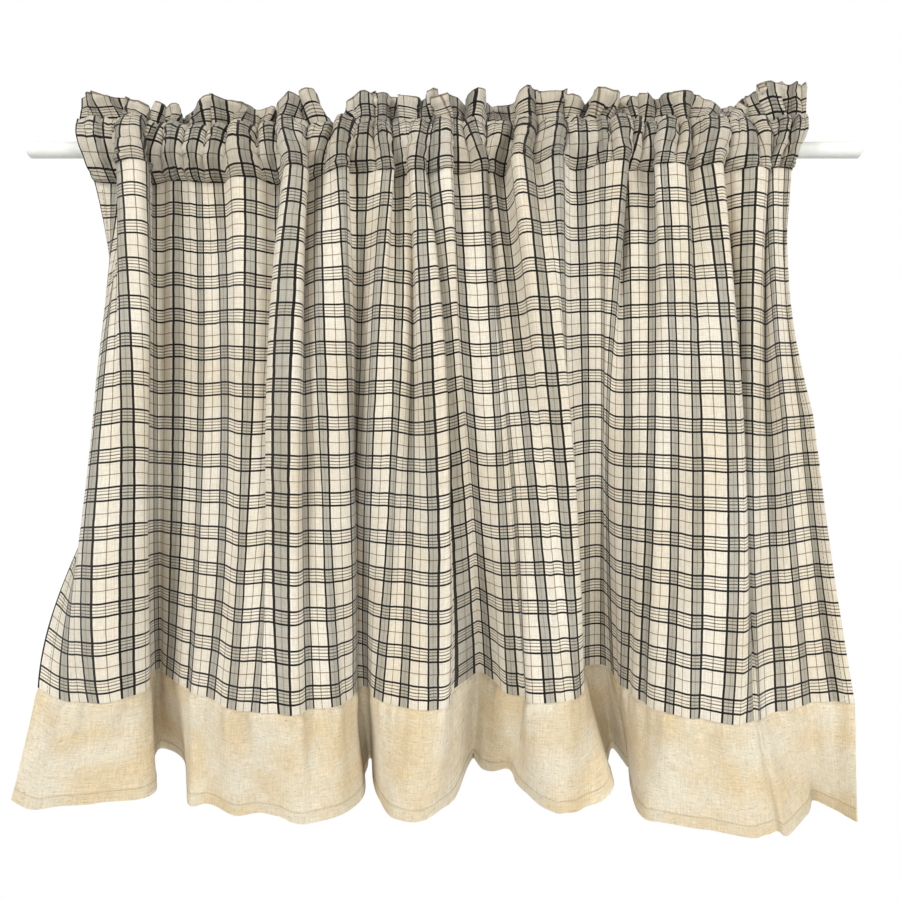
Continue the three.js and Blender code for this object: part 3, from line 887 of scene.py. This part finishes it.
class Nodes:
    """A material's node tree, with short ways to add what the cloths need."""

    def __init__(self, name, roughness):
        self.material = bpy.data.materials.new(name)
        self.material.use_nodes = True
        self.tree = self.material.node_tree
        self.shader = self.tree.nodes["Principled BSDF"]
        self.shader.inputs["Roughness"].default_value = roughness

    def add(self, kind, **settings):
        node = self.tree.nodes.new(kind)
        for key, value in settings.items():
            setattr(node, key, value)
        return node

    def put(self, socket, value):
        if isinstance(value, bpy.types.NodeSocket):
            self.tree.links.new(value, socket)
        else:
            socket.default_value = value

    def math(self, operation, a, b=0.0, c=0.0):
        node = self.add("ShaderNodeMath", operation=operation)
        for socket, value in zip(node.inputs, (a, b, c)):
            self.put(socket, value)
        return node.outputs[0]

    def flat_uv(self):
        """The flat cloth's u and v in millimetres, and both as one vector."""
        uv = self.add("ShaderNodeUVMap", uv_map="Flat")
        split = self.add("ShaderNodeSeparateXYZ")
        self.put(split.inputs[0], uv.outputs[0])
        return (
            self.math("MULTIPLY", split.outputs[0], 1000.0),
            self.math("MULTIPLY", split.outputs[1], 1000.0),
            uv.outputs[0],
        )

    def stretched(self, vector, across, down):
        """The flat coordinates scaled so that noise in them has these sizes in millimetres."""
        node = self.add("ShaderNodeMapping")
        self.put(node.inputs["Vector"], vector)
        node.inputs["Scale"].default_value = (1000 / across, 1000 / down, 1)
        return node.outputs[0]

    def noise(self, vector, across, down, detail=2.0, roughness=0.5):
        node = self.add("ShaderNodeTexNoise", noise_dimensions="2D")
        self.put(node.inputs["Vector"], self.stretched(vector, across, down))
        node.inputs["Scale"].default_value = 1.0
        node.inputs["Detail"].default_value = detail
        node.inputs["Roughness"].default_value = roughness
        return node.outputs["Fac"]

    def range(self, value, low, high, to_low, to_high):
        node = self.add("ShaderNodeMapRange", clamp=True)
        for socket, number in zip(node.inputs, (value, low, high, to_low, to_high)):
            self.put(socket, number)
        return node.outputs[0]

    def ramp(self, value, stops, size):
        """A colour ramp over 0 to size, with (place, colour) stops."""
        node = self.add("ShaderNodeValToRGB")
        self.put(node.inputs[0], self.math("DIVIDE", value, size))
        points = node.color_ramp.elements
        while len(points) < len(stops):
            points.new(0.5)
        for point, (place, colour) in zip(points, stops):
            point.position = place / size
            point.color = (*colour, 1)
        return node.outputs[0]

    def blend(self, kind, share, a, b):
        node = self.add("ShaderNodeMix", data_type="RGBA", blend_type=kind)
        self.put(node.inputs["Factor"], share)
        self.put(node.inputs[6], a if isinstance(a, bpy.types.NodeSocket) else (*a, 1))
        self.put(node.inputs[7], b if isinstance(b, bpy.types.NodeSocket) else (*b, 1))
        return node.outputs[2]

    def sine(self, coordinate, wavelength):
        return self.math("SINE", self.math("MULTIPLY", coordinate, 2 * math.pi / wavelength))

    def toned(self, colour, tone):
        """A colour made darker or lighter by a number."""
        grey = self.add("ShaderNodeCombineColor")
        for socket in grey.inputs:
            self.put(socket, tone)
        return self.blend("MULTIPLY", 1.0, colour, grey.outputs[0])

    def cover(self, colour):
        """The colour and soft sheen of a cloth."""
        self.put(self.shader.inputs["Base Color"], colour)
        self.shader.inputs["Specular IOR Level"].default_value = 0.2
        self.shader.inputs["Sheen Weight"].default_value = 0.15
        self.shader.inputs["Sheen Roughness"].default_value = 0.5

    def bump(self, height, distance, strength):
        node = self.add("ShaderNodeBump")
        self.put(node.inputs["Height"], height)
        node.inputs["Distance"].default_value = distance
        node.inputs["Strength"].default_value = strength
        self.put(self.shader.inputs["Normal"], node.outputs[0])


def checked_cotton():
    """Cream cotton with a woven check: up the cloth, pairs of black lines filled with grey-green;
    across it, bands of five dark lines; and single fawn lines midway between."""
    n = Nodes("checked_cotton", 0.92)
    u, v, flat = n.flat_uv()

    def wandering(coordinate, across, down):
        """The coordinate with the small wander of woven threads, in millimetres."""
        wander = n.math("SUBTRACT", n.noise(flat, across, down), 0.5)
        return n.math("ADD", coordinate, n.math("MULTIPLY", wander, 0.9))

    def from_band(coordinate, start, repeat):
        shifted = n.math("ADD", coordinate, 40 * repeat - start + repeat / 2)
        folded = n.math("FLOORED_MODULO", shifted, repeat)
        return n.math("ABSOLUTE", n.math("SUBTRACT", folded, repeat / 2))

    u, v = wandering(u, 30, 18), wandering(v, 16, 34)
    across = from_band(u, BAND_START_ACROSS, REPEAT_ACROSS)
    down = from_band(v, BAND_START_DOWN, REPEAT_DOWN)
    grey, white = (0.56, 0.575, 0.575), (1.0, 1.0, 1.0)
    black, halo = (0.016, 0.014, 0.012), (1.07, 1.07, 1.07)
    # The stops are distances in millimetres from the middle of a band of lines.
    warp = n.ramp(
        across,
        [
            (0.0, (0.40, 0.40, 0.39)),  # the middle line of the grey stripe
            (0.30, (0.40, 0.40, 0.39)),
            (0.60, grey),
            (2.9, grey),
            (3.1, (0.70, 0.71, 0.70)),
            (3.33, (0.70, 0.71, 0.70)),
            (3.45, black),  # the black line beside it
            (5.08, black),
            (5.32, halo),
            (5.9, white),
            (7.3, white),
            (7.6, (0.86, 0.84, 0.80)),  # a faint line
            (7.9, white),
            (12.5, white),
            (12.72, (0.42, 0.37, 0.30)),  # the fawn line midway
            (13.0, (0.42, 0.37, 0.30)),
        ],
        REPEAT_ACROSS / 2,
    )
    weft = n.ramp(
        down,
        [
            (0.0, (0.24, 0.22, 0.19)),  # the middle one of five lines
            (0.32, (0.24, 0.22, 0.19)),
            (0.62, halo),
            (2.1, white),
            (2.35, (0.38, 0.36, 0.32)),  # a thin one
            (2.9, (0.38, 0.36, 0.32)),
            (3.2, white),
            (4.3, halo),
            (4.46, black),  # an outer one
            (5.88, black),
            (6.12, halo),
            (6.7, white),
            (14.95, white),
            (15.22, (0.42, 0.35, 0.27)),  # the fawn line midway
            (15.5, (0.42, 0.35, 0.27)),
        ],
        REPEAT_DOWN / 2,
    )
    ground = n.blend(
        "MIX",
        n.range(n.noise(flat, 60, 110, 3), 0.35, 0.65, 0, 1),
        srgb(238, 230, 213),
        srgb(230, 219, 197),
    )
    colour = n.blend("MULTIPLY", 1.0, ground, warp)
    colour = n.blend("MULTIPLY", 1.0, colour, weft)

    # The fine ribs of the weave, a little uneven.
    ribs = n.math("ADD", n.sine(u, REPEAT_ACROSS / 16), n.sine(v, REPEAT_DOWN / 19))
    shade = n.range(ribs, -2, 2, 0.93, 1.03)
    slub = n.range(n.noise(flat, 0.8, 9, 3), 0.3, 0.75, 0.90, 1.05)
    slub_across = n.range(n.noise(flat, 8, 0.8, 3), 0.3, 0.75, 0.91, 1.05)
    colour = n.toned(colour, n.math("MULTIPLY", n.math("MULTIPLY", shade, slub), slub_across))

    # Painted shade: the pocket and the heading are darkened in colour, as less light from behind
    # comes through their doubled cloth than through one layer.
    painted_doubled_shade = n.range(v, -0.8, 0.8, 1, 0)
    colour = n.blend("MULTIPLY", painted_doubled_shade, colour, (0.735, 0.73, 0.72))
    n.cover(colour)
    weave = n.math("MULTIPLY", n.sine(u, 0.62), n.sine(v, 0.62))
    n.bump(n.math("ADD", weave, n.noise(flat, 1.2, 6)), 0.00025, 0.5)
    return n.material


def linen():
    """Unbleached linen with slubs both ways and a few dark flecks."""
    n = Nodes("linen", 0.95)
    u, v, flat = n.flat_uv()
    ground = n.blend(
        "MIX",
        n.range(n.noise(flat, 45, 40, 3), 0.35, 0.65, 0, 1),
        srgb(231, 221, 197),
        srgb(226, 206, 168),
    )
    slub_down = n.range(n.noise(flat, 0.9, 12, 3), 0.28, 0.75, 0.89, 1.06)
    slub_across = n.range(n.noise(flat, 12, 0.9, 3), 0.28, 0.75, 0.88, 1.06)
    mottle = n.range(n.noise(flat, 2.4, 2.0, 2), 0.3, 0.7, 0.95, 1.03)
    colour = n.toned(ground, n.math("MULTIPLY", n.math("MULTIPLY", slub_down, slub_across), mottle))
    dash = n.range(n.noise(flat, 6.5, 0.75, 1), 0.70, 0.76, 0, 0.55)
    colour = n.blend("MIX", dash, colour, srgb(158, 134, 98))
    streak = n.range(n.noise(flat, 0.8, 8, 1), 0.73, 0.79, 0, 0.4)
    colour = n.blend("MIX", streak, colour, srgb(168, 144, 108))
    fleck = n.range(n.noise(flat, 2.2, 1.0, 1), 0.79, 0.83, 0, 0.7)
    colour = n.blend("MIX", fleck, colour, srgb(104, 84, 58))

    # Painted shade: the hem, where two layers let less light through, is made a little darker and
    # warmer in colour, with a painted dark line at its turned edge.
    hem_start = FRILL_DROP - HEM_DEPTH
    in_hem = n.range(v, hem_start - 0.4, hem_start + 0.4, 0, 1)
    colour = n.blend("MULTIPLY", in_hem, colour, (0.97, 0.96, 0.935))
    # Painted shade: a dark line along the hem's turned edge.
    from_fold = n.math("ABSOLUTE", n.math("SUBTRACT", v, hem_start))
    painted_fold_line_shade = n.range(from_fold, 0.2, 0.9, 0.4, 0)
    colour = n.blend("MULTIPLY", painted_fold_line_shade, colour, (0.72, 0.66, 0.58))
    n.cover(colour)
    weave = n.math("MULTIPLY", n.sine(u, 0.8), n.sine(v, 0.8))
    n.bump(n.math("ADD", weave, n.noise(flat, 1.5, 5)), 0.0003, 0.5)
    return n.material


def thread(name, light, dark):
    """Twisted sewing thread, its plies as fine dark lines across each stitch."""
    n = Nodes(name, 0.7)
    place = n.add("ShaderNodeTexCoord").outputs["Object"]
    twist = n.add("ShaderNodeTexWave", bands_direction="DIAGONAL")
    n.put(twist.inputs["Vector"], place)
    twist.inputs["Scale"].default_value = 900
    n.put(n.shader.inputs["Base Color"], n.blend("MIX", twist.outputs["Fac"], light, dark))
    n.bump(twist.outputs["Fac"], 0.0001, 0.4)
    return n.material


def rod_enamel():
    """White enamel, very slightly uneven."""
    n = Nodes("rod_enamel", 0.5)
    place = n.add("ShaderNodeTexCoord").outputs["Object"]
    speck = n.add("ShaderNodeTexNoise")
    n.put(speck.inputs["Vector"], place)
    speck.inputs["Scale"].default_value = 240
    speckled = n.range(speck.outputs["Fac"], 0.4, 0.7, 0, 1)
    colour = n.blend("MIX", speckled, srgb(232, 234, 228), srgb(228, 230, 224))
    n.put(n.shader.inputs["Base Color"], colour)
    n.bump(speck.outputs["Fac"], 0.0001, 0.15)
    n.shader.inputs["Specular IOR Level"].default_value = 0.15
    return n.material


# --- stage ----------------------------------------------------------------------------------------
def make_camera():
    """A level wide view from a little over half a metre in front."""
    camera = bpy.data.cameras.new("camera")
    camera.lens, camera.sensor_width = 26, 36
    obj = bpy.data.objects.new("camera", camera)
    obj.location = (0.0047, -0.552, -0.2546)
    obj.rotation_euler = (math.pi / 2, 0, 0)
    bpy.context.scene.collection.objects.link(obj)
    bpy.context.scene.camera = obj


def make_floor():
    """A pale floor, lit for the camera to about the white of the background, that keeps the
    object's shadow."""
    material = bpy.data.materials.new("floor")
    material.use_nodes = True
    tree = material.node_tree
    shader = tree.nodes["Principled BSDF"]
    shader.inputs["Base Color"].default_value = (0.8, 0.8, 0.79, 1)
    shader.inputs["Roughness"].default_value = 1
    glow = tree.nodes.new("ShaderNodeEmission")
    path = tree.nodes.new("ShaderNodeLightPath")
    level = tree.nodes.new("ShaderNodeMath")
    level.operation = "MULTIPLY"
    level.inputs[1].default_value = FLOOR_GLOW
    both = tree.nodes.new("ShaderNodeAddShader")
    tree.links.new(path.outputs["Is Camera Ray"], level.inputs[0])
    tree.links.new(level.outputs[0], glow.inputs["Strength"])
    tree.links.new(shader.outputs[0], both.inputs[0])
    tree.links.new(glow.outputs[0], both.inputs[1])
    tree.links.new(both.outputs[0], tree.nodes["Material Output"].inputs["Surface"])
    bpy.ops.mesh.primitive_plane_add(size=FLOOR_SIZE, location=(0, 0, FLOOR_Z))
    floor = bpy.context.object
    floor.name = "floor"
    floor.data.materials.append(material)


def make_world():
    """Even light from all round, which the camera and reflections see as white."""
    world = bpy.data.worlds.new("world")
    bpy.context.scene.world = world
    world.use_nodes = True
    tree = world.node_tree
    background = tree.nodes["Background"]
    background.inputs["Color"].default_value = (1, 1, 1, 1)
    path = tree.nodes.new("ShaderNodeLightPath")
    seen = tree.nodes.new("ShaderNodeMath")
    seen.operation = "MAXIMUM"
    strength = tree.nodes.new("ShaderNodeMapRange")
    strength.inputs["To Min"].default_value = WORLD_LIGHT
    tree.links.new(path.outputs["Is Camera Ray"], seen.inputs[0])
    tree.links.new(path.outputs["Is Glossy Ray"], seen.inputs[1])
    tree.links.new(seen.outputs[0], strength.inputs["Value"])
    tree.links.new(strength.outputs[0], background.inputs["Strength"])


def make_lamps():
    """Soft lamps in front and one behind, all turned towards the middle of the cloth."""
    for name, power, size, place in LAMPS:
        lamp = bpy.data.lights.new(name, "AREA")
        lamp.energy, lamp.size = power, size
        obj = bpy.data.objects.new(name, lamp)
        obj.location = place
        aim = mathutils.Vector((0, 0, -0.25)) - obj.location
        obj.rotation_euler = aim.to_track_quat("-Z", "Y").to_euler()
        bpy.context.scene.collection.objects.link(obj)


# --- the scene ------------------------------------------------------------------------------------
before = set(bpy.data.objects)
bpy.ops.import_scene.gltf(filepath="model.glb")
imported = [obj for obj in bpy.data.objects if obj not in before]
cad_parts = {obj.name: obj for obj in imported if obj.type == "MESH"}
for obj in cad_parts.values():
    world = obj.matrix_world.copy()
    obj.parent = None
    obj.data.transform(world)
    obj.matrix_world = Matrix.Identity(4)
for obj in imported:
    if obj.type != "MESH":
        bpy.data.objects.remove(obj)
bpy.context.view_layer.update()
bpy.context.scene.view_settings.view_transform = "Standard"
make_camera()
make_floor()
make_world()
make_lamps()

cotton, linen_cloth, enamel = checked_cotton(), linen(), rod_enamel()
grey_thread = thread("grey_thread", srgb(112, 106, 94), srgb(86, 81, 71))
flax_thread = thread("flax_thread", srgb(196, 178, 146), srgb(172, 152, 118))

panel, panel_stitches = make_panel()
panel.data.materials.append(cotton)
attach(panel, "root")
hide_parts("panel")

panel_stitches.data.materials.append(grey_thread)
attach(panel_stitches, "root")

frill, frill_stitches = make_frill()
frill.data.materials.append(linen_cloth)
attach(frill, "root")
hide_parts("frill")

frill_stitches.data.materials.append(flax_thread)
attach(frill_stitches, "root")

rod = make_rod()
rod.data.materials.append(enamel)
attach(rod, "root")
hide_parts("rod")
